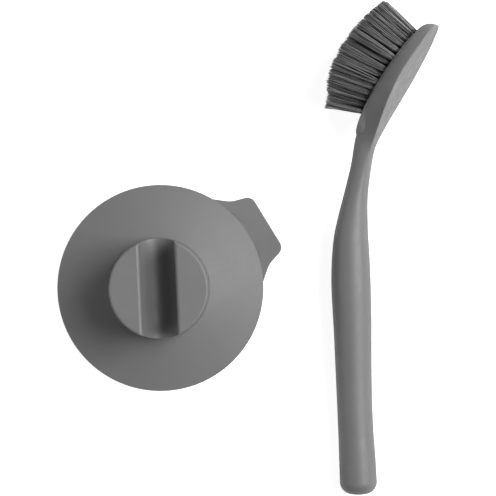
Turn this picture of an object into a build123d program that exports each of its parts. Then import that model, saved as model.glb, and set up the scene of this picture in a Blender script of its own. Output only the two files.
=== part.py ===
from build123d import *
import os
from math import asin, atan2, cos, degrees, pi, radians, sin, sqrt, tan

os.makedirs("parts", exist_ok=True)

# A dish brush and the suction-cup holder that belongs to it, laid out side by side on a table.
# The table is the plane z = 0. The holder stands on the rim of its cup, and the brush lies on its
# side with its bristles towards -X and its head towards +Y.

# Suction cup, a soft cone on a flat sealing rim
cup_diameter = 103.0
rim_thickness = 1.5
rim_seal_width = 2.6
rim_edge_share = 0.3
skirt_slope = 17.0
skirt_wall = 2.2

# Hub of the cup: the flat disc that carries the knob, and the snap stud on top of it
hub_diameter = 43.0
hub_thickness = 3.0
hub_gap = 0.3
flange_width = 4.0
flange_thickness = 1.6
stud_neck_diameter = 12.0
stud_neck_height = 3.0
stud_head_diameter = 16.0
stud_head_height = 2.4
stud_lead = 0.8

# Knob: a moulded cylinder with a round-bottomed channel across it
knob_diameter = 48.6
knob_height = 26.5
knob_draft = 1.4
knob_wall = 2.6
knob_edge_radius = 1.0
channel_width = 17.2
channel_depth = 19.0
channel_edge_radius = 1.6
channel_turn = 2.5
socket_web = 2.8
stud_clearance = 0.1
chamber_clearance = 0.3

# Release tab, which lifts the rim
tab_direction = 31.5
tab_reach = 11.3
tab_thickness = 1.3
tab_edge_share = 0.3
tab_gap = 0.3
tab_end_width = 30.6
tab_waist_width = 36.6
tab_waist_share = 0.10
tab_root_width = 48.4
tab_corner_radius = 4.5
tab_flare_radius = 12.0

# Grip and neck of the brush
neck_reach = 172.0
neck_drop = 10.4
grip_thickness = 19.6
neck_thickness = 9.7
neck_width = 14.0
grip_end_radius = 6.0
end_steps = 3

# Head of the brush. Its front is drawn in where the round neck runs into it.
head_length = 68.0
head_width = 55.2
head_angle = 28.1
head_side_inset = 5.0
head_crown = 0.3
side_bulge = 0.7
tip_thickness = 1.0
face_start = 8.0
face_depth = 6.6
face_slope = 5.8
root_thinning_share = 0.52

# Raised bristle face, set into the head, and its tufts
face_margin = 1.8
face_plate_thickness = 3.0
face_plate_proud = 0.3
plate_clearance = 0.1
row_count = 14
row_pitch = 3.43
first_row = 2.9
tuft_spacing = 5.8
tuft_edge_margin = 2.1
tuft_diameter = 2.9
tuft_spread = 1.75
ring_strands = 5
strand_thickness = 0.62
strand_ring_share = 0.85
strand_sink = 0.4
tuft_length = 24.8
fan_at_tip = 9.5
fan_at_neck = 30.1
side_fan = 4.0

# Flat wire anchors across the feet of the tufts
anchor_length = 2.4
anchor_height = 1.0
anchor_thickness = 0.4
anchor_clearance = 0.03

# Where the brush lies, measured from the middle of the cup to the end of the grip
brush_aside = 94.8
brush_below = 102.1

# Overrun of every cut past the face that it opens
overrun = 2.0

# Grip and neck stations: place along the reach, height of the middle, slimness from grip to neck,
# tilt as a share of the head's angle, and how far the section has turned into the head's form
grip_station_shares = [
    (0.035, -0.199, 0.120, 0.00, 0.00),
    (0.070, -0.185, 0.132, 0.00, 0.00),
    (0.120, -0.162, 0.160, 0.00, 0.00),
    (0.180, -0.131, 0.210, 0.00, 0.00),
    (0.240, -0.106, 0.217, 0.00, 0.00),
    (0.300, -0.086, 0.198, 0.00, 0.00),
    (0.360, -0.068, 0.170, 0.00, 0.00),
    (0.420, -0.054, 0.128, 0.00, 0.00),
    (0.480, -0.041, 0.077, 0.00, 0.00),
    (0.540, -0.020, 0.029, 0.00, 0.00),
    (0.600, 0.000, 0.000, 0.00, 0.00),
    (0.665, 0.010, 0.060, 0.00, 0.00),
    (0.733, 0.005, 0.220, 0.06, 0.00),
    (0.802, -0.048, 0.515, 0.22, 0.05),
    (0.872, -0.130, 0.820, 0.38, 0.15),
    (0.941, -0.240, 0.970, 0.60, 0.35),
]

# Head stations from the root to the tip: place along the head, half-width, sag of the back face,
# and how far the section has turned into the head's form
head_station_shares = [
    (0.985, 0.275, -0.014, 0.60),
    (0.890, 0.385, -0.005, 0.80),
    (0.800, 0.530, 0.004, 0.93),
    (0.690, 0.720, 0.010, 1.00),
    (0.570, 0.890, 0.013, 1.00),
    (0.440, 0.990, 0.013, 1.00),
    (0.330, 0.945, 0.010, 1.00),
    (0.220, 0.815, 0.004, 1.00),
    (0.118, 0.650, 0.000, 1.00),
    (0.070, 0.560, 0.000, 1.00),
    (0.034, 0.460, 0.000, 1.00),
    (0.010, 0.340, 0.000, 1.00),
    (0.000, 0.250, 0.000, 1.00),
]

# Outline of the raised face: place along it and half-width as a share of the head's half-width.
# It keeps just inside the head's front edge and stands out past it at its tongue on the neck.
plate_length_share = 0.862
plate_outline_shares = [
    (0.000, 0.000),
    (0.012, 0.200),
    (0.050, 0.430),
    (0.130, 0.580),
    (0.225, 0.690),
    (0.390, 0.785),
    (0.550, 0.710),
    (0.690, 0.520),
    (0.820, 0.390),
    (0.930, 0.285),
    (0.975, 0.200),
    (0.995, 0.090),
    (1.000, 0.000),
]

# Length of the tufts along the rows, as a share of the longest
tuft_length_shares = [
    (0.00, 0.900),
    (0.15, 0.965),
    (0.30, 0.990),
    (0.50, 1.000),
    (0.63, 0.965),
    (0.80, 0.885),
    (1.00, 0.735),
]


def between(table, place):
    """Value of a table of (place, value) pairs at a place between two of them."""
    for (low, first), (high, last) in zip(table, table[1:]):
        if place <= high:
            return first + (last - first) * (place - low) / (high - low)
    return table[-1][1]


def write(piece, name):
    """Name a finished piece and write its file."""
    piece.label = name
    export_step(piece, f"parts/{name}.step")


# Suction cup. Its levels are worked out from the rim inwards.
cup_radius = cup_diameter / 2
hub_radius = hub_diameter / 2
slope = tan(radians(skirt_slope))
wall_upright = skirt_wall / cos(radians(skirt_slope))
hub_top = rim_thickness + (cup_radius - hub_radius) * slope
hub_bottom = hub_top - hub_thickness
flange_bottom = hub_bottom - flange_thickness
inner_corner = hub_radius - flange_width
seal_radius = cup_radius - rim_seal_width
flange_meets_skirt = cup_radius - (flange_bottom + wall_upright - rim_thickness) / slope

with BuildPart() as cup_skirt:
    with BuildSketch(Plane.XZ):
        with BuildLine():
            Polyline(
                (seal_radius, 0),
                (cup_radius, 0),
                (cup_radius, rim_thickness),
                (hub_radius, hub_top),
                (hub_radius, hub_bottom),
                (inner_corner, hub_bottom),
                (inner_corner, flange_bottom),
                (flange_meets_skirt, flange_bottom),
                close=True,
            )
        make_face()
    revolve(axis=Axis.Z)
    rim_edges = cup_skirt.edges().filter_by(GeomType.CIRCLE).filter_by(
        lambda edge: abs(edge.radius - cup_radius) < hub_gap
    )
    fillet(rim_edges, radius=rim_thickness * rim_edge_share)

# Hub and its snap stud
stud_head_bottom = hub_top + stud_neck_height
stud_top = stud_head_bottom + stud_head_height

with BuildPart() as cup_hub:
    with BuildSketch(Plane.XY.offset(hub_bottom)):
        Circle(hub_radius - hub_gap)
    extrude(amount=hub_thickness)
    with BuildSketch(Plane.XY.offset(hub_top)):
        Circle(stud_neck_diameter / 2)
    extrude(amount=stud_neck_height)
    with BuildSketch(Plane.XY.offset(stud_head_bottom)):
        Circle(stud_head_diameter / 2)
    extrude(amount=stud_head_height)
    chamfer(cup_hub.edges().sort_by(Axis.Z)[-1], length=stud_lead)

# Knob. It is modelled with its channel along Y, then turned to where it was left.
knob_top = hub_top + knob_height
knob_radius = knob_diameter / 2
knob_foot_radius = knob_radius + knob_height * tan(radians(knob_draft))
channel_radius = channel_width / 2
channel_centre = knob_top - channel_depth + channel_radius
lip_centre = channel_radius + channel_edge_radius
lip_level = knob_top - channel_edge_radius
pocket_start = channel_radius + knob_wall
pocket_radius = knob_radius - knob_wall
pocket_height = knob_height - knob_wall
chamber_top = stud_top + chamber_clearance

with BuildPart() as knob:
    with BuildSketch(Plane.XZ):
        with BuildLine():
            Polyline(
                (0, hub_top),
                (knob_foot_radius, hub_top),
                (knob_radius, knob_top),
                (0, knob_top),
                close=True,
            )
        make_face()
    revolve(axis=Axis.Z)
    fillet(knob.edges().group_by(Axis.Z)[-1], radius=knob_edge_radius)
    with BuildSketch(Plane.XZ):
        with Locations((0, channel_centre)):
            Circle(channel_radius)
        with Locations((0, (channel_centre + knob_top) / 2)):
            Rectangle(channel_width, knob_top - channel_centre)
        with Locations((0, (lip_level + knob_top + overrun) / 2)):
            Rectangle(2 * lip_centre, knob_top + overrun - lip_level)
        with Locations((-lip_centre, lip_level), (lip_centre, lip_level)):
            Circle(channel_edge_radius, mode=Mode.SUBTRACT)
    extrude(amount=knob_foot_radius + overrun, both=True, mode=Mode.SUBTRACT)
    with BuildSketch(Plane.XY.offset(hub_top)):
        Circle(pocket_radius)
        Rectangle(2 * pocket_start, 2 * pocket_radius + overrun, mode=Mode.SUBTRACT)
    extrude(amount=pocket_height, mode=Mode.SUBTRACT)
    with BuildSketch(Plane.XY.offset(hub_top)):
        Circle(stud_neck_diameter / 2 + stud_clearance)
    extrude(amount=socket_web, mode=Mode.SUBTRACT)
    with BuildSketch(Plane.XY.offset(hub_top + socket_web)):
        Circle(stud_head_diameter / 2 + chamber_clearance)
    extrude(amount=chamber_top - hub_top - socket_web, mode=Mode.SUBTRACT)

# Release tab: a flat tongue outside the rim, flared where it meets it
tab_end = cup_radius + tab_reach
tab_waist = cup_radius + tab_reach * tab_waist_share
root_half = tab_root_width / 2
tab_root = sqrt(cup_radius**2 - root_half**2)
tab_radii = [tab_flare_radius, tab_corner_radius, tab_corner_radius, tab_flare_radius]

with BuildPart() as release_tab:
    with BuildSketch():
        with BuildLine():
            FilletPolyline(
                (tab_root, root_half),
                (tab_waist, tab_waist_width / 2),
                (tab_end, tab_end_width / 2),
                (tab_end, -tab_end_width / 2),
                (tab_waist, -tab_waist_width / 2),
                (tab_root, -root_half),
                radius=tab_radii,
            )
            Line((tab_root, -root_half), (tab_root, root_half))
        make_face()
        Circle(cup_radius + tab_gap, mode=Mode.SUBTRACT)
    extrude(amount=tab_thickness)
    fillet(release_tab.edges().group_by(Axis.Z)[-1], radius=tab_thickness * tab_edge_share)

# Brush, modelled along +X from the end of its grip, with its bristles towards +Z.
# The head has a frame of its own: origin at the tip of its back face, X towards the neck.
grip_half = grip_thickness / 2
neck_half = neck_thickness / 2
head_half = head_width / 2
lean = radians(head_angle)
head_frame = Plane(
    origin=(
        neck_reach + head_length * cos(lean),
        0,
        -neck_drop - head_length * sin(lean),
    ),
    x_dir=(-cos(lean), 0, sin(lean)),
    z_dir=(sin(lean), 0, cos(lean)),
)
face_rise = tan(radians(face_slope))


def face_level(place):
    """Height of the bristle side over the head's back plane: a rounded end, then the flat face."""
    if place < face_start:
        swing = 1 - place / face_start
        return tip_thickness + (face_depth - tip_thickness) * sqrt(1 - swing**2)
    return face_depth + face_rise * (place - face_start)


def corner_points(half_width, half_height, form):
    """Corners, sides, top and bottom of a section, from a round grip (form 0) to the flat-backed
    head (form 1). Inset, crown and bulge shrink where the head is thin."""
    diagonal = sqrt(1 / 2)
    full = min(1, 2 * half_height / face_depth) * form
    corner = diagonal + (1 - diagonal) * form
    inset = head_side_inset * full
    high = half_height * corner - head_crown * full
    back_x = half_width * corner
    front_x = back_x - inset
    side_x = half_width - inset / 2 + side_bulge * full
    return (back_x, -high), (side_x, 0), (front_x, high), (0, half_height), (0, -half_height)


def section(place, half_width, half_height, form):
    """Sketch of one section of the handle: back, two sides and front, each one arc."""
    back, side, front, top, bottom = corner_points(half_width, half_height, form)
    with BuildSketch(place) as sketch:
        with BuildLine():
            ThreePointArc((-back[0], back[1]), bottom, back)
            ThreePointArc(back, side, front)
            ThreePointArc(front, top, (-front[0], front[1]))
            ThreePointArc((-front[0], front[1]), (-side[0], side[1]), (-back[0], back[1]))
        make_face()
    return sketch.sketch


def grip_section(reach, lift, slim, tilt, form, shrink):
    """Section across the grip or neck, drawn in by the rounding of the grip's end."""
    turn = radians(head_angle * tilt)
    place = Plane(
        origin=(reach, 0, lift * grip_thickness),
        x_dir=(0, 1, 0),
        z_dir=(cos(turn), 0, -sin(turn)),
    )
    half_height = grip_half - slim * (grip_half - neck_half) - shrink
    half_width = grip_half - slim * (grip_half - neck_width / 2) - shrink
    return section(place, half_width, half_height, form)


sections = []
for step in range(end_steps):
    angle = pi / 2 * (1 - step / end_steps)
    reach = grip_end_radius * (1 - sin(angle))
    shrink = grip_end_radius * (1 - cos(angle))
    sections.append(grip_section(reach, *grip_station_shares[0][1:], shrink))
for along, *shape in grip_station_shares:
    sections.append(grip_section(along * neck_reach, *shape, 0))
for along, wide, sag, form in head_station_shares:
    reach = along * head_length
    back = sag * head_length
    depth = (face_level(reach) - back) * (1 - root_thinning_share * (1 - form))
    middle = head_frame.from_local_coords((reach, 0, back + depth / 2))
    place = Plane(origin=middle, x_dir=(0, 1, 0), z_dir=(cos(lean), 0, -sin(lean)))
    sections.append(section(place, wide * head_half, depth / 2, form))

# The raised face lies in the plane of the bristle side
face_length = head_length * plate_length_share
face_turn = lean + radians(face_slope)
face_frame = Plane(
    origin=head_frame.from_local_coords((face_start - face_margin, 0, face_level(face_start))),
    x_dir=(-cos(face_turn), 0, sin(face_turn)),
    z_dir=(sin(face_turn), 0, cos(face_turn)),
)
plate_bottom = face_plate_proud - face_plate_thickness


def face_plane(height):
    """Plane parallel to the bristle face at a height over it."""
    return face_frame.offset(height)


def plate_outline(grow):
    """Closed outline of the raised face, blunt at the tip and a rounded tongue on the neck."""
    upper = []
    for along, wide in plate_outline_shares:
        reach = along * (face_length + 2 * grow) - grow
        upper.append((reach, wide * head_half + grow if wide else 0))
    lower = [(x, -y) for x, y in reversed(upper[1:-1])]
    Spline(*upper, *lower, periodic=True)


def row_places():
    """Places of the tufts: one list of (along, across) for each row, staggered by turns."""
    places = []
    for index in range(row_count):
        along = first_row + index * row_pitch
        reach = between(plate_outline_shares, along / face_length) * head_half - tuft_edge_margin
        stagger = index % 2
        middle = -stagger * tuft_spacing / 2
        count = int((reach - middle) / tuft_spacing)
        steps = range(-count, count + 1 + stagger)
        spread = [middle + step * tuft_spacing for step in steps]
        places.append([(along, across) for across in spread if abs(across) <= reach])
    return places


def tuft_direction(along, across):
    """Direction of a tuft in the face's frame: fanned along the head and a little to the sides."""
    forward = tan(radians(fan_at_tip - (fan_at_tip + fan_at_neck) * along / face_length))
    sideways = tan(radians(side_fan)) * across / head_half
    return Vector(-forward, sideways, 1).normalized()


rows = row_places()
tufts = [tuft for row in rows for tuft in row]
print("rows", len(rows), "tufts", len(tufts), "strands", (ring_strands + 1) * len(tufts))


def anchor_box(along, across, clearance):
    """Flat anchor across the foot of a tuft, standing on the floor of the recess."""
    with BuildSketch(face_plane(plate_bottom)) as flat:
        with Locations((along, across)):
            Rectangle(anchor_thickness + 2 * clearance, anchor_length + 2 * clearance)
    return extrude(flat.sketch, amount=anchor_height + clearance, mode=Mode.PRIVATE)


with BuildPart() as handle:
    for outline in sections:
        add(outline)
    loft()
    with BuildSketch(face_plane(plate_bottom)):
        with BuildLine():
            plate_outline(plate_clearance)
        make_face()
    extrude(amount=face_plate_thickness + overrun, mode=Mode.SUBTRACT)


def strand(along, across, step):
    """One four-sided strand of a tuft: one of the ring, or the middle one as the last."""
    direction = tuft_direction(along, across)
    turn = 2 * pi * step / ring_strands
    ring = 1 if step < ring_strands else 0
    base_ring = ring * strand_ring_share * (tuft_diameter - strand_thickness) / 2
    tip_ring = ring * tuft_spread
    around = Vector(cos(turn), sin(turn), 0)
    length = tuft_length * between(tuft_length_shares, along / (row_count * row_pitch))
    foot = Vector(along, across, face_plate_proud)
    start = face_frame.from_local_coords(foot - direction * strand_sink + around * base_ring)
    end = face_frame.from_local_coords(foot + direction * length + around * tip_ring)
    with BuildSketch(Plane(origin=start, x_dir=(0, 1, 0), z_dir=end - start)) as square:
        Rectangle(strand_thickness, strand_thickness)
    return extrude(square.sketch, amount=(end - start).length, mode=Mode.PRIVATE)


tuft_rows = []
for index, row in enumerate(rows):
    low = first_row + (index - 1 / 2) * row_pitch if index else -overrun
    last = index == row_count - 1
    high = face_length + overrun if last else first_row + (index + 1 / 2) * row_pitch
    pockets = [anchor_box(*tuft, anchor_clearance) for tuft in row]
    strands = [strand(*tuft, step) for tuft in row for step in range(ring_strands + 1)]
    with BuildPart() as tuft_row:
        with BuildSketch(face_plane(plate_bottom)):
            with BuildLine():
                plate_outline(0)
            make_face()
            with Locations(((low + high) / 2, 0)):
                Rectangle(high - low, 2 * head_width, mode=Mode.INTERSECT)
        extrude(amount=face_plate_thickness)
        add(strands)
        add(pockets, mode=Mode.SUBTRACT)
    tuft_rows.append(tuft_row.part)

with BuildPart() as tuft_anchors:
    add([anchor_box(*tuft, 0) for tuft in tufts])

# The brush lies on three points: the grip's end, the far edge of the head's back and the far tufts.
# The last two give its roll about the grip, and the first two its pitch.
widest = max(head_station_shares, key=lambda station: station[1])
edge_along, edge_half, edge_back = widest[0] * head_length, widest[1] * head_half, widest[2] * head_length
edge_place = head_frame.from_local_coords((edge_along, 0, edge_back))
outer_tuft = max(tufts, key=lambda tuft: tuft[1])
tip_across = outer_tuft[1] + tuft_direction(*outer_tuft).Y * tuft_length + tuft_spread
tip_height = face_level(edge_along) + tuft_length
roll = atan2(edge_half - tip_across, tip_height)
head_rest = edge_half * cos(roll) + edge_place.Z * sin(roll)
end_lift, end_slim = grip_station_shares[0][1:3]
end_half = grip_half - end_slim * (grip_half - neck_width / 2)
grip_rest = end_half + end_lift * grip_thickness * sin(roll)
pitch = asin((head_rest - grip_rest) / (edge_place.X - grip_end_radius))
print("roll", degrees(roll), "pitch", degrees(pitch))

table_side = Plane(origin=(brush_aside, -brush_below, 0), x_dir=(0, 1, 0), z_dir=(-1, 0, 0))
lying = table_side.location * Location((0, 0, 0), (0, 0, -degrees(pitch)))
lying = lying * Location((0, 0, 0), (-degrees(roll), 0, 0))
brush = {"handle": handle.part, "tuft_anchors": tuft_anchors.part}
for number, piece in enumerate(tuft_rows, 1):
    brush[f"tuft_row_{number:02d}"] = piece
brush = {name: piece.moved(lying) for name, piece in brush.items()}
lowest = min(piece.bounding_box().min.Z for piece in brush.values())

pieces = {
    "cup_skirt": cup_skirt.part,
    "cup_hub": cup_hub.part,
    "knob": knob.part.moved(Location((0, 0, 0), (0, 0, channel_turn))),
    "release_tab": release_tab.part.moved(Location((0, 0, 0), (0, 0, tab_direction))),
}
for name, piece in brush.items():
    pieces[name] = piece.moved(Location((0, 0, -lowest)))

# The origin is under the middle of everything, on the table
boxes = [piece.bounding_box() for piece in pieces.values()]
middle_x = (min(box.min.X for box in boxes) + max(box.max.X for box in boxes)) / 2
middle_y = (min(box.min.Y for box in boxes) + max(box.max.Y for box in boxes)) / 2
print("cup axis at", -middle_x, -middle_y)
for name, piece in pieces.items():
    write(piece.moved(Location((-middle_x, -middle_y, 0))), name)
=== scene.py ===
import bpy
import math
import numpy as np
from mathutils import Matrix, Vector


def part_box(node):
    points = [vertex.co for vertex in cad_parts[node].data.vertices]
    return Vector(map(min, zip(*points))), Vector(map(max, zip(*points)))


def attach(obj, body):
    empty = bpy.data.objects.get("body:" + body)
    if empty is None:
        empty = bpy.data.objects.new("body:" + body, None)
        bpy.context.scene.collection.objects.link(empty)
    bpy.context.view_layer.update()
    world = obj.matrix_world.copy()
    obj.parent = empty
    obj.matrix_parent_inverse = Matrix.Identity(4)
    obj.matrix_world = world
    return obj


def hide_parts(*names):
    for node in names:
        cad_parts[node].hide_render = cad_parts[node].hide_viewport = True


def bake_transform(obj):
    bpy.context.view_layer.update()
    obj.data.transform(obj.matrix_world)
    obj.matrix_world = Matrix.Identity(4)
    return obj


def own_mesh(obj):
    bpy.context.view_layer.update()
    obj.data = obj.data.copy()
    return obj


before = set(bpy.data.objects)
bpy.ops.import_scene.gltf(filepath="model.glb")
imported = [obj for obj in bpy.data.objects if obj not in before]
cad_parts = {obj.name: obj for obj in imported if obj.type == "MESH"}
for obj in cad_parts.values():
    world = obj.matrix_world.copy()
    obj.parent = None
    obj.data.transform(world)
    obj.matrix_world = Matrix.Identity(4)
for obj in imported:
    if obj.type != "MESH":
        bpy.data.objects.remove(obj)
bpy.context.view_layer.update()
print("stage: frame loaded")

mm = 0.001
cupLow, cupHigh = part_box("cup_skirt")
cupAxis = (cupLow + cupHigh) / 2
seed = 41
rng = np.random.default_rng(seed)

# Camera: straight down on the table. Lens = sensor times distance over the shown width, which makes
# one of the 496 pixels half a millimetre of the table.
cameraFacts = {
    "distance": 1.5, "shownWidth": 0.248, "sensor": 36.0, "right": 0.04375, "up": 0.01995,
    "clipStart": 0.01, "clipEnd": 20,
}
camData = bpy.data.cameras.new("cameraData")
camData.sensor_width = cameraFacts["sensor"]
camData.lens = cameraFacts["sensor"] * cameraFacts["distance"] / cameraFacts["shownWidth"]
camData.clip_start = cameraFacts["clipStart"]
camData.clip_end = cameraFacts["clipEnd"]
camObject = bpy.data.objects.new("camera", camData)
camObject.location = (
    cupAxis.x + cameraFacts["right"], cupAxis.y + cameraFacts["up"], cameraFacts["distance"]
)
bpy.context.scene.collection.objects.link(camObject)
bpy.context.scene.camera = camObject
print("stage: camera set")


# Puts a mesh from whole arrays into the scene: corners in metres, and blocks of faces with the same
# number of sides in each block. A face starts in the list of corners at the sum of the sides before it.
def makePiece(name, corners, faceBlocks, smooth=True):
    mesh = bpy.data.meshes.new(name)
    counts = [len(block) for block in faceBlocks]
    sides = [block.shape[1] for block in faceBlocks]
    mesh.vertices.add(len(corners))
    mesh.vertices.foreach_set("co", np.ascontiguousarray(corners, np.float32).ravel())
    loops = np.concatenate([block.ravel() for block in faceBlocks]).astype(np.int32)
    mesh.loops.add(len(loops))
    mesh.loops.foreach_set("vertex_index", loops)
    sizes = np.concatenate([np.full(n, s) for n, s in zip(counts, sides)])
    starts = np.concatenate([[0], np.cumsum(sizes)[:-1]]).astype(np.int32)
    mesh.polygons.add(len(sizes))
    mesh.polygons.foreach_set("loop_start", starts)
    mesh.polygons.foreach_set("use_smooth", np.full(len(sizes), smooth))
    mesh.update(calc_edges=True)
    mesh.validate()
    piece = bpy.data.objects.new(name, mesh)
    bpy.context.scene.collection.objects.link(piece)
    return piece


# Faces of a tube of rings: ring r and r + 1 are joined side by side, and each end closes on one point.
# Flip turns all the faces over, for rings that run the other way round.
def tubeFaces(ringCount, around, flip=False, capStart=None, capEnd=None):
    ring = np.arange(ringCount - 1)[:, None] * around
    side = np.arange(around)[None, :]
    after = (side + 1) % around
    quads = np.stack([ring + side, ring + after, ring + around + after, ring + around + side], -1)
    blocks = [quads.reshape(-1, 4)]
    loop = np.arange(around)
    nextLoop = (loop + 1) % around
    if capStart is not None:
        blocks.append(np.stack([nextLoop, loop, np.full(around, capStart)], -1))
    if capEnd is not None:
        last = (ringCount - 1) * around
        blocks.append(np.stack([loop + last, nextLoop + last, np.full(around, capEnd)], -1))
    return [block[:, ::-1] if flip else block for block in blocks]


# Smooth curve through the points of a table: cubic pieces whose slope at a point is the weighted
# harmonic mean of the slopes on both sides, and zero at a turning point.
def smoothThrough(places, values, wanted):
    places = np.asarray(places, float)
    values = np.asarray(values, float)
    step = np.diff(places)
    rise = np.diff(values) / step
    slope = np.zeros(len(places))
    same = rise[1:] * rise[:-1] > 0
    weightA = 2 * step[1:] + step[:-1]
    weightB = step[1:] + 2 * step[:-1]
    with np.errstate(divide="ignore", invalid="ignore"):
        mean = (weightA + weightB) / (weightA / rise[:-1] + weightB / rise[1:])
    slope[1:-1] = np.where(same, mean, 0)
    slope[0], slope[-1] = rise[0], rise[-1]
    wanted = np.clip(np.asarray(wanted, float), places[0], places[-1])
    part = np.clip(np.searchsorted(places, wanted, side="right") - 1, 0, len(step) - 1)
    t = (wanted - places[part]) / step[part]
    return (
        values[part] * (1 + 2 * t) * (1 - t) ** 2
        + values[part + 1] * t * t * (3 - 2 * t)
        + step[part] * (slope[part] * t * (1 - t) ** 2 + slope[part + 1] * t * t * (t - 1))
    )


# Bell weights: exp(-offset squared / 2), over their sum.
def bellWeights(offsets):
    bell = np.exp(-0.5 * offsets**2)
    return bell / bell.sum()


# Closes a polyline on its first point, and gives the length up to each point: the sum of the sides.
def closedPolyline(points):
    closed = np.concatenate([points, points[:1]])
    return closed, np.append(0, np.cumsum(np.linalg.norm(np.diff(closed, axis=0), axis=1)))


# Closed outline read at the given lengths and averaged with the bell weights, round its seam too.
def averagedOutline(closed, length, wanted, bell):
    outline = np.stack([np.interp(wanted, length, closed[:, k]) for k in (0, 1)], -1)
    reach = len(bell) // 2
    padded = np.concatenate([outline[-reach:], outline, outline[:reach]])
    return np.stack([np.convolve(padded[:, k], bell, mode="valid") for k in (0, 1)], -1)


# Inward side of a closed outline: its tangent turned by a quarter, to the side where the middle lies.
def inwardOf(outline, middle):
    tangent = np.roll(outline, -1, 0) - np.roll(outline, 1, 0)
    tangent /= np.linalg.norm(tangent, axis=1, keepdims=True)
    inward = np.stack([-tangent[:, 1], tangent[:, 0]], -1)
    return -inward if ((middle - outline) * inward).sum() < 0 else inward


# Matrix of a turn about Z: x' = x cos - y sin and y' = x sin + y cos.
def turnAboutZ(angle):
    return np.array([
        [math.cos(angle), -math.sin(angle), 0], [math.sin(angle), math.cos(angle), 0], [0, 0, 1],
    ])


# The brush has a frame of its own: X along the handle from the end of the grip, Z to the bristles.
# It lies on its side: a turn about X by the roll, then about Z by the pitch, then onto the table.
brushFacts = {
    "neckReach": 172.0, "neckDrop": 10.4, "headLength": 68.0, "headHalf": 27.6, "headAngle": 28.1,
    "gripHalf": 9.8, "neckHalf": 4.85, "neckWide": 7.0, "gripThickness": 19.6, "endRadius": 6.0,
    "sideInset": 5.0, "crown": 0.3, "sideBulge": 0.7, "tipThickness": 1.0, "faceStart": 8.0,
    "faceDepth": 6.6, "faceSlope": 5.8, "faceMargin": 1.8, "proud": 0.3, "faceShare": 0.862,
    "plateThickness": 3.0, "rootThinning": 0.52, "roll": 11.8935, "pitch": 3.5539,
}
lean = math.radians(brushFacts["headAngle"])
faceTurn = lean + math.radians(brushFacts["faceSlope"])
faceLength = brushFacts["headLength"] * brushFacts["faceShare"]
headX = np.array([-math.cos(lean), 0, math.sin(lean)])
headZ = np.array([math.sin(lean), 0, math.cos(lean)])
headOrigin = np.array([
    brushFacts["neckReach"] + brushFacts["headLength"] * math.cos(lean), 0,
    -brushFacts["neckDrop"] - brushFacts["headLength"] * math.sin(lean),
])


# Level of the bristle side over the back: a quarter of an ellipse over the tip, then a slow even
# rise. Over the tip it is thin + (depth - thin) times the root of 1 - (1 - place / start) squared.
def faceLevel(place):
    place = np.asarray(place, float)
    start, depth, thin = brushFacts["faceStart"], brushFacts["faceDepth"], brushFacts["tipThickness"]
    rise = math.tan(math.radians(brushFacts["faceSlope"]))
    swing = np.clip(1 - place / start, 0, 1)
    rounded = thin + (depth - thin) * np.sqrt(1 - swing**2)
    return np.where(place < start, rounded, depth + rise * (place - start))


faceX = np.array([-math.cos(faceTurn), 0, math.sin(faceTurn)])
faceZ = np.array([math.sin(faceTurn), 0, math.cos(faceTurn)])
faceOrigin = (
    headOrigin + headX * (brushFacts["faceStart"] - brushFacts["faceMargin"])
    + headZ * float(faceLevel(brushFacts["faceStart"]))
)

# Outline of the raised face up to its last row: place as a share of its length, and half-width as a
# share of the head's half-width
plateOutline = np.array([
    (0.000, 0.000), (0.012, 0.200), (0.050, 0.430), (0.130, 0.580), (0.225, 0.690), (0.390, 0.785),
    (0.550, 0.710), (0.690, 0.520), (0.820, 0.390),
])
tuftFacts = {
    "rows": 14, "pitch": 3.43, "first": 2.9, "spacing": 5.8, "margin": 2.1, "length": 24.8,
    "fanTip": 9.5, "fanNeck": 30.1, "sideFan": 4.0, "footRadius": 1.28, "tipRadius": 2.0,
    "filaments": 48, "thickness": 0.33, "sunk": 1.3, "trimNoise": 0.22, "sides": 5,
    "goldenAngle": 2.39996, "turnRange": 6.28, "footNoise": 0.05, "tipNoise": 0.2, "bendNoise": 0.9,
    "bendIn": 0.5, "tipPoint": 0.06,
}
# Thickness of a filament at its levels, and the tufts' length by their place, as shares
filamentTaper = np.array([1, 1, 1, 0.98, 0.8])
tuftLengths = np.array([
    (0.00, 0.880), (0.15, 0.960), (0.30, 0.995), (0.50, 1.010), (0.63, 0.985), (0.80, 0.920),
    (1.00, 0.720),
])


# Places of the tufts: rows along the face, each second row shifted sideways by half a spacing.
def tuftPlaces():
    rows = []
    for index in range(tuftFacts["rows"]):
        along = tuftFacts["first"] + index * tuftFacts["pitch"]
        reach = np.interp(along / faceLength, plateOutline[:, 0], plateOutline[:, 1])
        reach = reach * brushFacts["headHalf"] - tuftFacts["margin"]
        shift = tuftFacts["spacing"] / 2 if index % 2 else 0
        count = int((reach + shift) / tuftFacts["spacing"])
        across = np.arange(-count, count + 1 + index % 2) * tuftFacts["spacing"] - shift
        across = across[np.abs(across) <= reach]
        rows.append(np.stack([np.full(len(across), along), across], -1))
    return rows


tuftRows = tuftPlaces()
allTufts = np.concatenate(tuftRows)


# Points of the face's frame in the brush's frame: origin + along times X + across times Y + up times Z.
def fromFace(points):
    points = np.asarray(points, float)
    return (
        faceOrigin + points[..., 0:1] * faceX + points[..., 1:2] * np.array([0, 1.0, 0])
        + points[..., 2:3] * faceZ
    )


# The brush's turn: first about X by the roll, then about Z by the pitch, then onto the table.
rollTurn = math.radians(-brushFacts["roll"])
turnX = np.array([
    [1, 0, 0], [0, math.cos(rollTurn), -math.sin(rollTurn)],
    [0, math.sin(rollTurn), math.cos(rollTurn)],
])
ontoTable = np.array([[0, 0, -1.0], [1, 0, 0], [0, -1, 0]])
brushTurn = ontoTable @ turnAboutZ(math.radians(-brushFacts["pitch"])) @ turnX

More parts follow.
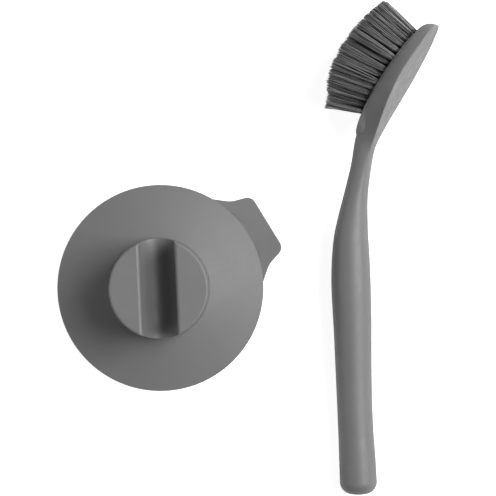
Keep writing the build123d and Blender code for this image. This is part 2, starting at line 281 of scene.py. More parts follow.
# The anchors are plain flat wires, so their box gives the brush's place exactly.
anchorFacts = {"length": 2.4, "height": 1.0, "thickness": 0.4}
cornerSigns = np.array([(i, j, k) for i in (-0.5, 0.5) for j in (-0.5, 0.5) for k in (0, 1)], float)
anchorSize = np.array([anchorFacts["thickness"], anchorFacts["length"], anchorFacts["height"]])
anchorFeet = np.concatenate([
    allTufts, np.full((len(allTufts), 1), brushFacts["proud"] - brushFacts["plateThickness"])
], 1)
anchorCorners = fromFace(anchorFeet[:, None, :] + cornerSigns * anchorSize) @ brushTurn.T
anchorLow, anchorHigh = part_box("tuft_anchors")
brushShift = np.array(anchorLow) / mm - anchorCorners.reshape(-1, 3).min(0)
shiftCheck = np.array(anchorHigh) / mm - anchorCorners.reshape(-1, 3).max(0)
print("brush shift", brushShift, "from the other side", shiftCheck)


# Points of the brush's frame, in millimetres, on the table, in metres: (turn times point + shift) mm.
def toTable(points):
    return (points @ brushTurn.T + brushShift) * mm


# Handle: one skin from the rounded grip end, along the neck and over the head to its thin tip.
# Stations of grip and neck: place along the reach, lift, slimness, share of the head's angle, form.
gripStations = np.array([
    (0.035, -0.199, 0.120, 0.00, 0.00), (0.070, -0.185, 0.132, 0.00, 0.00),
    (0.120, -0.162, 0.160, 0.00, 0.00), (0.180, -0.131, 0.210, 0.00, 0.00),
    (0.240, -0.106, 0.217, 0.00, 0.00), (0.300, -0.086, 0.198, 0.00, 0.00),
    (0.360, -0.068, 0.170, 0.00, 0.00), (0.420, -0.054, 0.128, 0.00, 0.00),
    (0.480, -0.041, 0.077, 0.00, 0.00), (0.540, -0.020, 0.029, 0.00, 0.00),
    (0.600, 0.000, 0.000, 0.00, 0.00), (0.665, 0.010, 0.060, 0.00, 0.00),
    (0.733, 0.005, 0.220, 0.06, 0.00), (0.802, -0.048, 0.515, 0.22, 0.05),
    (0.872, -0.130, 0.820, 0.38, 0.15), (0.941, -0.240, 0.970, 0.60, 0.35),
])
# Stations of the head from its root to its tip: place, half-width, sag of the back, form.
headStations = np.array([
    (0.985, 0.275, -0.014, 0.60), (0.890, 0.385, -0.005, 0.80), (0.800, 0.530, 0.004, 0.93),
    (0.690, 0.720, 0.010, 1.00), (0.570, 0.890, 0.013, 1.00), (0.440, 0.990, 0.013, 1.00),
    (0.330, 0.945, 0.010, 1.00), (0.220, 0.815, 0.004, 1.00), (0.118, 0.650, 0.000, 1.00),
    (0.070, 0.560, 0.000, 1.00), (0.034, 0.460, 0.000, 1.00), (0.010, 0.340, 0.000, 1.00),
    (0.000, 0.250, 0.000, 1.00),
])
handleFacts = {
    "arcPoints": 26, "cornerPoints": 7, "sharpCut": 0.55, "roundCut": 1.2, "mostCut": 0.35,
    "leastShare": 0.001, "mostShare": 0.3, "farCorner": 3, "parallel": 1e-9, "leastAngle": 1e-3,
    "endRings": 12, "stationStep": 0.004, "headStep": 0.5, "noseZone": 1.0, "noseRings": 9,
    "tipRound": 0.45, "mostRound": 0.97, "tipPinch": 3, "evenStep": 0.25, "smoothing": 2.2,
    "bellReach": 24, "softFrom": 8, "softTo": 14, "softOver": 6, "ringStep": 0.8, "fineStep": 0.4,
    "tipZone": 12, "exactFrom": 7, "exactTo": 1.2, "leastStep": 1e-6,
}


# Table of rings: middle (x, z), turn, half-width, half-height and form. Grip: half size = grip's minus
# slimness times (grip's minus neck's), less at the round end. Head: half the way from back to face.
def handleTable():
    b, f = brushFacts, handleFacts
    rows = []
    for share in np.linspace(0, 1, f["endRings"] + 1)[:-1]:
        angle = math.pi / 2 * (1 - share)
        reach, shrink = b["endRadius"] * (1 - math.sin(angle)), b["endRadius"] * (1 - math.cos(angle))
        rows.append((gripStations[0, 1] * b["gripThickness"], gripStations[0, 2], 0, 0, reach, shrink))
    lift, slim, tilt, form, reach, shrink = np.array(rows).T
    dense = np.arange(gripStations[0, 0], gripStations[-1, 0], f["stationStep"])
    dense = np.append(dense, gripStations[-1, 0])
    kept = [smoothThrough(gripStations[:, 0], gripStations[:, k], dense) for k in range(1, 5)]
    lift = np.append(lift, kept[0] * b["gripThickness"])
    slim = np.append(slim, kept[1])
    tilt = np.append(tilt, kept[2])
    form = np.append(form, kept[3])
    reach = np.append(reach, dense * b["neckReach"])
    shrink = np.append(shrink, np.zeros(len(dense)))
    grip = np.stack([
        reach, lift, tilt * lean,
        b["gripHalf"] - slim * (b["gripHalf"] - b["neckWide"]) - shrink,
        b["gripHalf"] - slim * (b["gripHalf"] - b["neckHalf"]) - shrink,
        form,
    ], -1)
    place = np.concatenate([
        np.arange(headStations[0, 0] * b["headLength"], f["noseZone"], -f["headStep"]),
        np.linspace(f["noseZone"], 0, f["noseRings"]),
    ])
    share = place / b["headLength"]
    order = headStations[::-1]
    wide, sag, form = [smoothThrough(order[:, 0], order[:, k], share) for k in (1, 2, 3)]
    back = sag * b["headLength"]
    front = back + (faceLevel(place) - back) * (1 - b["rootThinning"] * (1 - form))
    cut = np.clip((f["tipRound"] - place) / f["tipRound"], 0, f["mostRound"])
    shrink = f["tipRound"] * (1 - np.sqrt(1 - cut**2))
    middle = headOrigin + headX * place[:, None] + headZ * ((back + front) / 2)[:, None]
    head = np.stack([
        middle[:, 0], middle[:, 2], np.full(len(place), lean),
        wide * b["headHalf"] - shrink * f["tipPinch"], (front - back) / 2 - shrink, form,
    ], -1)
    return np.concatenate([grip, head])


# Point of an arc over a chord: half chord h, bulge s, half angle 2 atan(s / h), at share u of it.
def arcPoints(start, top, end, u):
    middle = (start + end) / 2
    along = (end - start) / 2
    half = np.linalg.norm(along, axis=-1, keepdims=True)
    bulge = top - middle
    angle = 2 * np.arctan2(np.linalg.norm(bulge, axis=-1, keepdims=True), half)
    angle = np.maximum(angle, handleFacts["leastAngle"])
    theta = (angle * (2 * u - 1))[..., None]
    wide = np.sin(theta) / np.sin(angle)[..., None]
    high = (np.cos(theta) - np.cos(angle)[..., None]) / (1 - np.cos(angle)[..., None])
    return middle[:, None, :] + along[:, None, :] * wide + bulge[:, None, :] * high


# Closed sections from four arcs, with each corner cut back and rounded by a curve on its two tangents.
# Form 0 is an ellipse, with its corners at root one half; form 1 has a flat back and leaning sides.
def handleSections(halfWidth, halfHeight, form):
    f = handleFacts
    diagonal = math.sqrt(0.5)
    full = np.minimum(1, 2 * halfHeight / brushFacts["faceDepth"]) * form
    corner = diagonal + (1 - diagonal) * form
    backX = halfWidth * corner
    frontX = backX - brushFacts["sideInset"] * full
    frontY = halfHeight * corner - brushFacts["crown"] * full
    backY = -frontY
    sideX = halfWidth - brushFacts["sideInset"] / 2 * full + brushFacts["sideBulge"] * full
    zero = np.zeros_like(halfWidth)
    corners = [(-backX, backY), (backX, backY), (frontX, frontY), (-frontX, frontY)]
    tops = [(zero, -halfHeight), (sideX, zero), (zero, halfHeight), (-sideX, zero)]
    corners, tops = [[np.stack(point, -1) for point in four] for four in (corners, tops)]
    cut = f["sharpCut"] * form + f["roundCut"] * (1 - form)
    cut = np.minimum(cut, f["mostCut"] * halfHeight)
    pieces, ends = [], []
    for i in range(4):
        start, end = corners[i], corners[(i + 1) % 4]
        chord = np.linalg.norm(end - start, axis=-1)
        share = np.clip(cut / chord, f["leastShare"], f["mostShare"])[:, None]
        u = share + (1 - 2 * share) * np.linspace(0, 1, f["arcPoints"])[None, :]
        points = arcPoints(start, tops[i], end, u)
        pieces.append(points)
        step = np.diff(points, axis=1)
        ends.append((points[:, 0], step[:, 0], points[:, -1], step[:, -1]))
    t = np.linspace(0, 1, f["cornerPoints"] + 2)[1:-1][None, :, None]
    outline = []
    for i in range(4):
        p0, d0 = ends[i][2], ends[i][3]
        p2, d2 = ends[(i + 1) % 4][0], -ends[(i + 1) % 4][1]
        cross = d0[:, 0] * d2[:, 1] - d0[:, 1] * d2[:, 0]
        cross = np.where(np.abs(cross) < f["parallel"], f["parallel"], cross)
        gap = p2 - p0
        reach = (gap[:, 0] * d2[:, 1] - gap[:, 1] * d2[:, 0]) / cross
        p1 = p0 + d0 * reach[:, None]
        far = f["farCorner"] * np.linalg.norm(gap, axis=-1)
        good = (reach > 0) & (np.linalg.norm(p1 - p0, axis=-1) < far)
        p1 = np.where(good[:, None], p1, (p0 + p2) / 2)
        corner = p0[:, None] * (1 - t) ** 2 + p1[:, None] * 2 * t * (1 - t) + p2[:, None] * t**2
        outline += [pieces[i], corner]
    return np.concatenate(outline, 1)


# The handle: sections set square to the turning middle line, point = middle + up times height, and
# across times width. Even samples of the table are averaged with a bell weight, but not at the ends.
def makeHandle():
    f = handleFacts
    table = handleTable()
    steps = np.linalg.norm(np.diff(table[:, :2], axis=0), axis=1) + f["leastStep"]
    length = np.append(0, np.cumsum(steps))
    whole = length[-1]
    even = np.arange(0, whole, f["evenStep"])
    offsets = np.arange(-f["bellReach"], f["bellReach"] + 1)
    bell = bellWeights(offsets * f["evenStep"] / f["smoothing"])
    blendIn = np.clip((even - f["softFrom"]) / f["softOver"], 0, 1)
    blendIn = blendIn * np.clip((whole - f["softTo"] - even) / f["softOver"], 0, 1)
    # Rings lie closer together near the tip, and on the table's own places at the two ends
    wanted = np.unique(np.concatenate([
        length[:f["endRings"] + 1],
        np.arange(length[f["endRings"]] + f["fineStep"], whole - f["tipZone"], f["ringStep"]),
        np.arange(whole - f["tipZone"], whole - f["noseZone"], f["fineStep"]),
        length[length > whole - f["noseZone"]],
    ]))
    exact = (wanted < f["exactFrom"]) | (wanted > whole - f["exactTo"])
    rings = []
    for values in table.T:
        plain = smoothThrough(length, values, even)
        padded = np.pad(plain, f["bellReach"], mode="reflect", reflect_type="odd")
        soft = np.convolve(padded, bell, mode="valid")
        soft = np.interp(wanted, even, plain * (1 - blendIn) + soft * blendIn)
        rings.append(np.where(exact, np.interp(wanted, length, values), soft))
    x, z, turn, halfWidth, halfHeight, form = rings
    sections = handleSections(halfWidth, halfHeight, form)
    up = np.stack([np.sin(turn), np.zeros_like(turn), np.cos(turn)], -1)
    middle = np.stack([x, np.zeros_like(x), z], -1)
    points = middle[:, None] + up[:, None] * sections[..., 1:2]
    points[..., 1] += sections[..., 0]
    ringCount, around = points.shape[:2]
    ends = np.stack([points[0].mean(0), points[-1].mean(0)])
    corners = np.concatenate([points.reshape(-1, 3), ends])
    blocks = tubeFaces(ringCount, around, capStart=ringCount * around, capEnd=ringCount * around + 1)
    return makePiece("handleShell", toTable(corners), blocks)


handleShell = makeHandle()
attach(handleShell, "brush")
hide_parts("handle")
print("stage: handle built")


plateFacts = {
    "around": 260, "edge": 0.28, "edgeRings": 6, "rings": 60, "pitDepth": 0.9, "pitRadius": 1.35,
    "under": 2.65, "deeper": 1.5, "deeperFrom": 48, "deeperOver": 6, "samples": 1040,
    "bellReach": 40, "bellWidth": 16, "spineStart": 5, "spineEnd": 4, "middleShare": 0.42,
}
# The tongue on the neck: the end of its outline, and the level of the face as it follows the neck.
tongueOutline = np.array([
    (0.86, 0.378), (0.93, 0.325), (0.97, 0.275), (1.005, 0.195), (1.022, 0.110), (1.028, 0.0),
])
tongueLevels = np.array([
    (0.0, 0.0), (43.0, 0.0), (48.0, -0.45), (50.0, -0.75), (52.0, -1.10), (54.0, -1.50), (56.0, -1.98),
    (58.0, -2.55), (60.0, -3.20), (62.5, -4.20),
])


# Raised bristle face: its outline runs round as rings, stepped inwards over a soft edge and then on
# to a line along the middle. The top dips at each tuft: depth times exp(-(distance / radius) squared).
def makePlate():
    f = plateFacts
    half = np.concatenate([plateOutline[plateOutline[:, 0] < tongueOutline[0, 0]], tongueOutline])
    key = np.concatenate([half, (half * (1, -1))[::-1][1:-1]])
    closed, length = closedPolyline(key * (faceLength, brushFacts["headHalf"]))
    even = np.linspace(0, length[-1], f["samples"] + 1)[:-1]
    bell = bellWeights(np.arange(-f["bellReach"], f["bellReach"] + 1) / f["bellWidth"])
    outline = averagedOutline(closed, length, even, bell)[:: f["samples"] // f["around"]]
    middle = np.array([faceLength * f["middleShare"], 0])
    inward = inwardOf(outline, middle)
    edge = f["edge"]
    rings, heights = [outline], [-f["under"]]
    for angle in np.linspace(0, math.pi / 2, f["edgeRings"]):
        rings.append(outline + inward * edge * (1 - math.cos(angle)))
        heights.append(brushFacts["proud"] - edge * (1 - math.sin(angle)))
    spine = np.clip(outline[:, 0], f["spineStart"], faceLength - f["spineEnd"])
    spine = np.stack([spine, np.zeros(len(outline))], -1)
    base, onTop = rings[-1], len(rings)
    for share in np.linspace(0, 1, f["rings"])[1:]:
        rings.append(base * (1 - share) + spine * share)
        heights.append(brushFacts["proud"])
    flat = np.array(rings)
    height = np.repeat(np.array(heights)[:, None], len(outline), 1)
    apart = np.linalg.norm(flat[onTop:, :, None, :] - allTufts[None, None], axis=-1)
    height[onTop:] -= f["pitDepth"] * np.exp(-(apart / f["pitRadius"]) ** 2).sum(-1)
    height += smoothThrough(tongueLevels[:, 0], tongueLevels[:, 1], flat[..., 0])
    # The lower edge of the tongue reaches down into the neck
    sink = np.clip((outline[:, 0] - f["deeperFrom"]) / f["deeperOver"], 0, 1)
    height[0] -= f["deeper"] * sink
    points = np.concatenate([flat, height[..., None]], -1)
    ringCount, around = points.shape[:2]
    foot = np.array([[middle[0], 0, -f["under"]]])
    corners = np.concatenate([points.reshape(-1, 3), foot])
    blocks = tubeFaces(ringCount, around, capStart=ringCount * around)
    return makePiece("bristleFace", toTable(fromFace(corners)), blocks)


bristleFace = makePlate()
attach(bristleFace, "brush")
print("stage: bristle face built")


# Trimmed surface of the tufts, over a place on the face: place + direction times the length there.
# The direction leans by an angle that falls evenly along the face, and a little to the sides.
def trimmedPoint(along, across):
    share = along / faceLength
    fan = np.radians(tuftFacts["fanTip"] - (tuftFacts["fanTip"] + tuftFacts["fanNeck"]) * share)
    aside = np.radians(tuftFacts["sideFan"]) * across / brushFacts["headHalf"]
    way = np.stack([-np.tan(fan), np.tan(aside), np.ones_like(along)], -1)
    way /= np.linalg.norm(way, axis=1, keepdims=True)
    place = along / (tuftFacts["rows"] * tuftFacts["pitch"])
    length = tuftFacts["length"] * smoothThrough(tuftLengths[:, 0], tuftLengths[:, 1], place)
    foot = np.stack([along, across, np.full_like(along, brushFacts["proud"])], -1)
    return foot + way * length[:, None], way


# Row of tufts: each filament is a thin five-sided rod from its hole to the trimmed surface.
# Its foot lies in a small disc and its tip in a wider one; its middle line is bent a little:
# point = foot + (tip - foot) t + bend (t - t squared).
def makeTuftRow(number, tufts):
    f = tuftFacts
    count, sides, levels = f["filaments"], f["sides"], len(filamentTaper)
    total = len(tufts) * count
    index = np.tile(np.arange(count), len(tufts))
    centre = np.repeat(tufts, count, axis=0)
    radius = np.sqrt((index + 0.5) / count)
    golden = index * f["goldenAngle"] + rng.uniform(0, f["turnRange"], len(tufts)).repeat(count)
    disc = np.stack([np.cos(golden), np.sin(golden)], -1) * radius[:, None]
    disc += rng.normal(0, f["footNoise"], (total, 2))
    level = np.full((total, 1), brushFacts["proud"] - f["sunk"])
    foot = np.concatenate([centre + disc * f["footRadius"], level], 1)
    spread = disc * f["tipRadius"] + rng.normal(0, f["tipNoise"], (total, 2))
    tip, way = trimmedPoint(centre[:, 0] + spread[:, 0], centre[:, 1] + spread[:, 1])
    tip += way * rng.normal(0, f["trimNoise"], (total, 1))
    bend = rng.normal(0, f["bendNoise"], (total, 2)) - disc * f["bendIn"]
    bend = np.concatenate([bend, np.zeros((total, 1))], 1)
    t = np.linspace(0, 1, levels)[None, :, None]
    path = foot[:, None] + (tip - foot)[:, None] * t + bend[:, None] * (t - t * t)
    axis = tip - foot
    axis /= np.linalg.norm(axis, axis=1, keepdims=True)
    sideways = np.cross(axis, np.array([0, 1.0, 0]))
    sideways /= np.linalg.norm(sideways, axis=1, keepdims=True)
    across = np.cross(axis, sideways)
    turn = rng.uniform(0, f["turnRange"], total)[:, None]
    turn = turn + np.arange(sides)[None] * 2 * math.pi / sides
    around = sideways[:, None] * np.cos(turn)[..., None] + across[:, None] * np.sin(turn)[..., None]
    thin = f["thickness"] / 2 * filamentTaper[None, :, None, None]
    points = path[:, :, None] + around[:, None] * thin
    top = tip + axis * f["tipPoint"]
    perRod = levels * sides + 2
    corners = np.concatenate([points.reshape(total, -1, 3), top[:, None], foot[:, None]], 1)
    corners = corners.reshape(-1, 3)
    # The face's frame is left-handed, so its faces are turned over to look outwards
    one = tubeFaces(levels, sides, flip=True, capStart=levels * sides + 1, capEnd=levels * sides)
    first = (np.arange(total) * perRod)[:, None, None]
    blocks = [(block[None] + first).reshape(-1, block.shape[1]) for block in one]
    # The tips of the lowest tufts rest on the table
    placed = toTable(fromFace(corners))
    placed[:, 2] = np.maximum(placed[:, 2], 0)
    piece = makePiece(f"tuftRow{number:02d}", placed, blocks)
    shade = np.repeat(rng.uniform(0, 1, total), perRod).astype(np.float32)
    piece.data.attributes.new("strandShade", "FLOAT", "POINT").data.foreach_set("value", shade)
    return piece


tuftPieces = []
for number, tufts in enumerate(tuftRows, 1):
    tuftRow = makeTuftRow(number, tufts)
    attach(tuftRow, "brush")
    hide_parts(f"tuft_row_{number:02d}")
    tuftPieces.append(tuftRow)
print("stage: tufts built")


skirtFacts = {
    "radius": 51.5, "rimThickness": 1.5, "sealWidth": 2.6, "slope": 17.0, "wall": 2.2,
    "hubRadius": 21.5, "hubThickness": 3.0, "flangeWidth": 4.0, "flangeThickness": 1.6,
    "around": 288, "softness": 0.22, "outlineStep": 0.1, "keptBend": 0.0008, "keptEach": 8,
}


# Closed polyline sampled evenly and averaged with a bell weight of the given width, cut off at four
# times that width.
def softOutline(points, step, softness):
    closed, length = closedPolyline(points)
    reach = int(4 * softness / step) + 1
    bell = bellWeights(np.arange(-reach, reach + 1) * step / softness)
    return averagedOutline(closed, length, np.arange(0, length[-1], step), bell)


# Cup skirt: a turned profile, its corners rounded by averaging along the outline. Height of the cone
# = rim + (radius - place) times the slope. Points where the outline is straight are thinned out.
def makeSkirt():
    s = skirtFacts
    slope = math.tan(math.radians(s["slope"]))
    wallUp = s["wall"] / math.cos(math.radians(s["slope"]))
    hubTop = s["rimThickness"] + (s["radius"] - s["hubRadius"]) * slope
    hubBottom = hubTop - s["hubThickness"]
    flangeBottom = hubBottom - s["flangeThickness"]
    inner = s["hubRadius"] - s["flangeWidth"]
    meets = s["radius"] - (flangeBottom + wallUp - s["rimThickness"]) / slope
    profile = np.array([
        (s["radius"] - s["sealWidth"], 0), (s["radius"], 0), (s["radius"], s["rimThickness"]),
        (s["hubRadius"], hubTop), (s["hubRadius"], hubBottom), (inner, hubBottom),
        (inner, flangeBottom), (meets, flangeBottom),
    ])
    outline = softOutline(profile, s["outlineStep"], s["softness"])
    bend = np.linalg.norm(np.roll(outline, -1, 0) - 2 * outline + np.roll(outline, 1, 0), axis=1)
    keep = (bend > s["keptBend"]) | (np.arange(len(outline)) % s["keptEach"] == 0)
    outline = outline[keep]
    angle = np.linspace(0, 2 * math.pi, s["around"], endpoint=False)
    radial = np.stack([np.cos(angle), np.sin(angle)], -1)
    points = np.concatenate([
        outline[:, None, 0:1] * radial[None], np.repeat(outline[:, None, 1:2], s["around"], 1)
    ], -1)
    ringCount = len(outline)
    ring = np.arange(ringCount)[:, None] * s["around"]
    nextRing = (np.arange(ringCount)[:, None] + 1) % ringCount * s["around"]
    side = np.arange(s["around"])[None]
    after = (side + 1) % s["around"]
    quads = np.stack([ring + side, ring + after, nextRing + after, nextRing + side], -1).reshape(-1, 4)
    corners = points.reshape(-1, 3) * mm + np.array([cupAxis.x, cupAxis.y, 0])
    return makePiece("cupSkirt", corners, [quads])


cupSkirt = makeSkirt()
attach(cupSkirt, "cup")
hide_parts("cup_skirt")
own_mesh(cupSkirt)
print("stage: cup skirt built")


tabFacts = {
    "direction": 31.5, "rootAt": 43.67, "rootHalf": 25.67, "waistAt": 52.63, "waistHalf": 18.3,
    "end": 62.8, "endHalf": 15.3, "cornerRadius": 4.5, "flareRadius": 12.0, "thickness": 1.3,
    "cornerSoft": 0.4, "edge": 0.4, "middleAt": 56.0, "rootPoints": 41, "outlineStep": 0.25,
    "underRings": (0.02, 0.3, 0.6, 0.9), "topRings": (0.93, 0.8, 0.6, 0.4, 0.2, 0.02),
    "lowerEdge": 5, "upperEdge": 6, "arcPoints": 14,
}


# Rounds the corner between two straight sides: an arc whose ends lie radius times
# tan(turn / 2) from the corner.
def roundCorner(before, corner, after, radius):
    back = (before - corner) / np.linalg.norm(before - corner)
    ahead = (after - corner) / np.linalg.norm(after - corner)
    between = math.acos(np.clip(back @ ahead, -1, 1))
    reach = radius / math.tan(between / 2)
    middle = corner + (back + ahead) / np.linalg.norm(back + ahead) * radius / math.sin(between / 2)
    first, last = corner + back * reach - middle, corner + ahead * reach - middle
    start = math.atan2(first[1], first[0])
    swing = math.atan2(first[0] * last[1] - first[1] * last[0], first @ last)
    angle = start + swing * np.linspace(0, 1, tabFacts["arcPoints"])
    return middle + radius * np.stack([np.cos(angle), np.sin(angle)], -1)


# Release tab: a flat tongue with rounded outer corners, flared where it grows from the rim. Its rings
# run from the middle of the underside over the rounded edge to the middle of the top.
def makeTab():
    f = tabFacts
    key = np.array([
        (f["rootAt"], f["rootHalf"]), (f["waistAt"], f["waistHalf"]), (f["end"], f["endHalf"]),
        (f["end"], -f["endHalf"]), (f["waistAt"], -f["waistHalf"]), (f["rootAt"], -f["rootHalf"]),
    ])
    radii = [f["flareRadius"], f["cornerRadius"], f["cornerRadius"], f["flareRadius"]]
    arcs = [roundCorner(key[i], key[i + 1], key[i + 2], radii[i]) for i in range(4)]
    swing = math.atan2(f["rootHalf"], f["rootAt"])
    arc = np.linspace(-swing, swing, f["rootPoints"])
    root = np.stack([np.cos(arc), np.sin(arc)], -1) * math.hypot(f["rootAt"], f["rootHalf"])
    plan = softOutline(np.concatenate([root, *arcs]), f["outlineStep"], f["cornerSoft"])
    middle = np.array([f["middleAt"], 0])
    inward = inwardOf(plan, middle)
    rings, heights = [], []
    for share in f["underRings"]:
        rings.append(middle + (plan - middle) * share)
        heights.append(0.0)
    for angle in np.linspace(0, math.pi / 2, f["lowerEdge"]):
        rings.append(plan + inward * f["edge"] * (1 - math.sin(angle)))
        heights.append(f["edge"] * (1 - math.cos(angle)))
    for angle in np.linspace(0, math.pi / 2, f["upperEdge"]):
        rings.append(plan + inward * f["edge"] * (1 - math.cos(angle)))
        heights.append(f["thickness"] - f["edge"] * (1 - math.sin(angle)))
    for share in f["topRings"]:
        rings.append(middle + (plan - middle) * share)
        heights.append(f["thickness"])
    flat = np.array(rings)
    height = np.repeat(np.array(heights)[:, None], len(plan), 1)
    points = np.concatenate([flat, height[..., None]], -1)
    ringCount, around = points.shape[:2]
    corners = np.concatenate([
        points.reshape(-1, 3), [(middle[0], 0, 0), (middle[0], 0, f["thickness"])]
    ]) @ turnAboutZ(math.radians(f["direction"])).T
    corners = corners * mm + np.array([cupAxis.x, cupAxis.y, 0])
    blocks = tubeFaces(
        ringCount, around, flip=True, capStart=ringCount * around, capEnd=ringCount * around + 1
    )
    return makePiece("releaseTab", corners, blocks)


releaseTab = makeTab()
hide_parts("release_tab")
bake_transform(releaseTab)
print("stage: release tab built")


# Scales are in cells a metre, depths in metres.
surfaceFacts = {
    "slowScale": 38, "slowDetail": 5, "drift": 0.08, "patchScale": 160, "patchDetail": 6,
    "patchLow": 0.3, "patchHigh": 0.7, "grainDetail": 3, "grainDepth": 0.00002, "grainGain": 10,
    "waveDepth": 0.0001, "waveStrength": 0.1, "strandScale": 900, "strandDetail": 2,
    "strandPatch": 0.1, "strandBump": 0.2,
}


# New material with its tree and shader, and the object's own place for its textures.
def newMaterial(name):
    material = bpy.data.materials.new(name)
    material.use_nodes = True
    tree = material.node_tree
    place = tree.nodes.new("ShaderNodeTexCoord").outputs["Object"]
    return material, tree, tree.nodes["Principled BSDF"], place


# Noise over the place, from 0 to 1.
def noiseOver(tree, place, scale, detail):
    noise = tree.nodes.new("ShaderNodeTexNoise")
    noise.inputs["Scale"].default_value = scale
    noise.inputs["Detail"].default_value = detail
    tree.links.new(place, noise.inputs["Vector"])
    return noise.outputs["Fac"]


# Mixed base colour: first + (second - first) times the factor.
def mixColour(tree, shader, factor, first, second):
    tint = tree.nodes.new("ShaderNodeMix")
    tint.data_type = "RGBA"
    tint.inputs["A"].default_value = [*first, 1]
    tint.inputs["B"].default_value = [*second, 1]
    tree.links.new(factor, tint.inputs["Factor"])
    tree.links.new(tint.outputs["Result"], shader.inputs["Base Color"])


# Roughness from a noise: middle minus patch at its low end, middle plus patch at its high end.
def patchRoughness(tree, shader, noise, middle, patch, low=0, high=1):
    rough = tree.nodes.new("ShaderNodeMapRange")
    rough.inputs["From Min"].default_value = low
    rough.inputs["From Max"].default_value = high
    rough.inputs["To Min"].default_value = middle - patch
    rough.inputs["To Max"].default_value = middle + patch
    tree.links.new(noise, rough.inputs["Value"])
    tree.links.new(rough.outputs["Result"], shader.inputs["Roughness"])


# Bump: the surface's height = depth times strength times the noise, over the bump before it.
def bumpFrom(tree, noise, strength, depth, before=None):
    bump = tree.nodes.new("ShaderNodeBump")
    bump.inputs["Strength"].default_value = strength
    bump.inputs["Distance"].default_value = depth
    tree.links.new(noise, bump.inputs["Height"])
    if before is not None:
        tree.links.new(before, bump.inputs["Normal"])
    return bump.outputs["Normal"]


# Moulded surface: colour = base times (1 + a slow drift), roughness with soft patches, and two bumps.
def mouldedMaterial(name, shade, roughness, patch=0.08, fine=0.02, fineScale=2600):
    f = surfaceFacts
    material, tree, shader, place = newMaterial(name)
    slow = noiseOver(tree, place, f["slowScale"], f["slowDetail"])
    darker = [value * (1 - f["drift"]) for value in shade]
    lighter = [value * (1 + f["drift"]) for value in shade]
    mixColour(tree, shader, slow, darker, lighter)
    patches = noiseOver(tree, place, f["patchScale"], f["patchDetail"])
    patchRoughness(tree, shader, patches, roughness, patch, f["patchLow"], f["patchHigh"])
    grain = noiseOver(tree, place, fineScale, f["grainDetail"])
    fineNormal = bumpFrom(tree, grain, fine * f["grainGain"], f["grainDepth"])
    waved = bumpFrom(tree, slow, f["waveStrength"], f["waveDepth"], before=fineNormal)
    tree.links.new(waved, shader.inputs["Normal"])
    return material


# Filament: each strand has its own shade, dark + (light - dark) times its random share.
def filamentMaterial(name, dark, light, roughness):
    f = surfaceFacts
    material, tree, shader, place = newMaterial(name)
    strand = tree.nodes.new("ShaderNodeAttribute")
    strand.attribute_name = "strandShade"
    mixColour(tree, shader, strand.outputs["Fac"], [dark] * 3, [light] * 3)
    grain = noiseOver(tree, place, f["strandScale"], f["strandDetail"])
    patchRoughness(tree, shader, grain, roughness, f["strandPatch"])
    normal = bumpFrom(tree, grain, f["strandBump"], f["grainDepth"])
    tree.links.new(normal, shader.inputs["Normal"])
    return material


# Gives a piece one material in place of what it has.
def dress(piece, material):
    piece.data.materials.clear()
    piece.data.materials.append(material)


handleSkin = mouldedMaterial("handlePlastic", (0.190, 0.190, 0.190), 0.46)
faceSkin = mouldedMaterial("facePlastic", (0.215, 0.215, 0.215), 0.5)
knobSkin = mouldedMaterial("knobPlastic", (0.190, 0.190, 0.190), 0.5)
cupSkin = mouldedMaterial("cupRubber", (0.190, 0.190, 0.190), 0.55, patch=0.03, fine=0.03)
hubSkin = mouldedMaterial("hubRubber", (0.180, 0.180, 0.180), 0.6)
wireSkin = mouldedMaterial("anchorSteel", (0.62, 0.61, 0.59), 0.3, fineScale=6000)
wireSkin.node_tree.nodes["Principled BSDF"].inputs["Metallic"].default_value = 1
bristleSkin = filamentMaterial("bristleNylon", 0.004, 0.42, 0.36)
dress(handleShell, handleSkin)
dress(bristleFace, faceSkin)
for piece in tuftPieces:
    dress(piece, bristleSkin)
dress(cupSkirt, cupSkin)
dress(releaseTab, cupSkin)
dress(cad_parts["knob"], knobSkin)
dress(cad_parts["cup_hub"], hubSkin)
dress(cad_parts["tuft_anchors"], wireSkin)
print("stage: materials set")


floorFacts = {
    "reach": 4, "below": 0.00002, "shade": 0.8, "roughness": 0.9, "specular": 0.1, "seenLift": 0.84,
    "mirroredLift": 0.2,
}


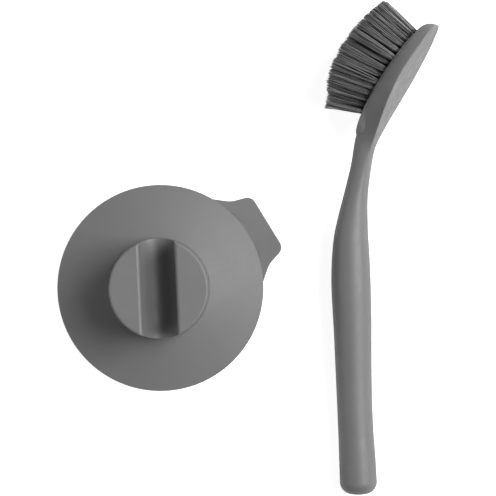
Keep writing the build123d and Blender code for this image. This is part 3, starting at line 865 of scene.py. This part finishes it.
# Floor: pale and plain. It gives off light = seen lift for what the camera sees of it, and mirrored
# lift for what a mirror or glass sees, so that it looks white and keeps the shadow.
def paleFloor():
    square = np.array([(-1, -1, 0), (1, -1, 0), (1, 1, 0), (-1, 1, 0)], float) * floorFacts["reach"]
    square = square - (0, 0, floorFacts["below"])
    floor = makePiece("floor", square, [np.array([[0, 1, 2, 3]])], smooth=False)
    material = bpy.data.materials.new("floorPale")
    material.use_nodes = True
    tree = material.node_tree
    nodes, links = tree.nodes, tree.links
    shader = nodes["Principled BSDF"]
    shader.inputs["Base Color"].default_value = [floorFacts["shade"]] * 3 + [1]
    shader.inputs["Roughness"].default_value = floorFacts["roughness"]
    shader.inputs["Specular IOR Level"].default_value = floorFacts["specular"]
    shader.inputs["Emission Color"].default_value = (1, 1, 1, 1)
    path = nodes.new("ShaderNodeLightPath")
    mirrored = nodes.new("ShaderNodeMath")
    mirrored.operation = "MAXIMUM"
    links.new(path.outputs["Is Glossy Ray"], mirrored.inputs[0])
    links.new(path.outputs["Is Transmission Ray"], mirrored.inputs[1])
    dimmer = nodes.new("ShaderNodeMath")
    dimmer.operation = "MULTIPLY"
    dimmer.inputs[1].default_value = floorFacts["mirroredLift"]
    links.new(mirrored.outputs[0], dimmer.inputs[0])
    amount = nodes.new("ShaderNodeMath")
    amount.operation = "MULTIPLY_ADD"
    amount.inputs[1].default_value = floorFacts["seenLift"]
    links.new(path.outputs["Is Camera Ray"], amount.inputs[0])
    links.new(dimmer.outputs[0], amount.inputs[2])
    links.new(amount.outputs[0], shader.inputs["Emission Strength"])
    dress(floor, material)


paleFloor()

# World: a dim even sky for the object, and white for what is seen directly.
skyFacts = {"dim": 0.08, "seen": 1.0}
world = bpy.data.worlds.new("studio")
bpy.context.scene.world = world
world.use_nodes = True
worldNodes, worldLinks = world.node_tree.nodes, world.node_tree.links
sky = worldNodes["Background"]
sky.inputs["Color"].default_value = (1, 1, 1, 1)
skyPath = worldNodes.new("ShaderNodeLightPath")
skyEither = worldNodes.new("ShaderNodeMath")
skyEither.operation = "MAXIMUM"
worldLinks.new(skyPath.outputs["Is Camera Ray"], skyEither.inputs[0])
worldLinks.new(skyPath.outputs["Is Transmission Ray"], skyEither.inputs[1])
skyRange = worldNodes.new("ShaderNodeMapRange")
skyRange.inputs["To Min"].default_value = skyFacts["dim"]
skyRange.inputs["To Max"].default_value = skyFacts["seen"]
worldLinks.new(skyEither.outputs[0], skyRange.inputs["Value"])
worldLinks.new(skyRange.outputs["Result"], sky.inputs["Strength"])


# Soft lamp: a square of light aimed at the middle of the object, its way = minus its place.
def softLamp(name, place, size, power):
    data = bpy.data.lights.new(name, "AREA")
    data.shape = "SQUARE"
    data.size = size
    data.energy = power
    lamp = bpy.data.objects.new(name, data)
    lamp.location = place
    lamp.rotation_euler = (-Vector(place)).to_track_quat("-Z", "Y").to_euler()
    bpy.context.scene.collection.objects.link(lamp)


# Name, place and size in metres, power in watts: the main lamp and a weak fill from the other side
softLamp("lampRight", (1.10, 0.34, 1.32), 1.3, 39)
softLamp("lampLeft", (-1.4, -0.1, 0.7), 1.4, 6)
bpy.context.scene.view_settings.view_transform = "Standard"
print("stage: light set")
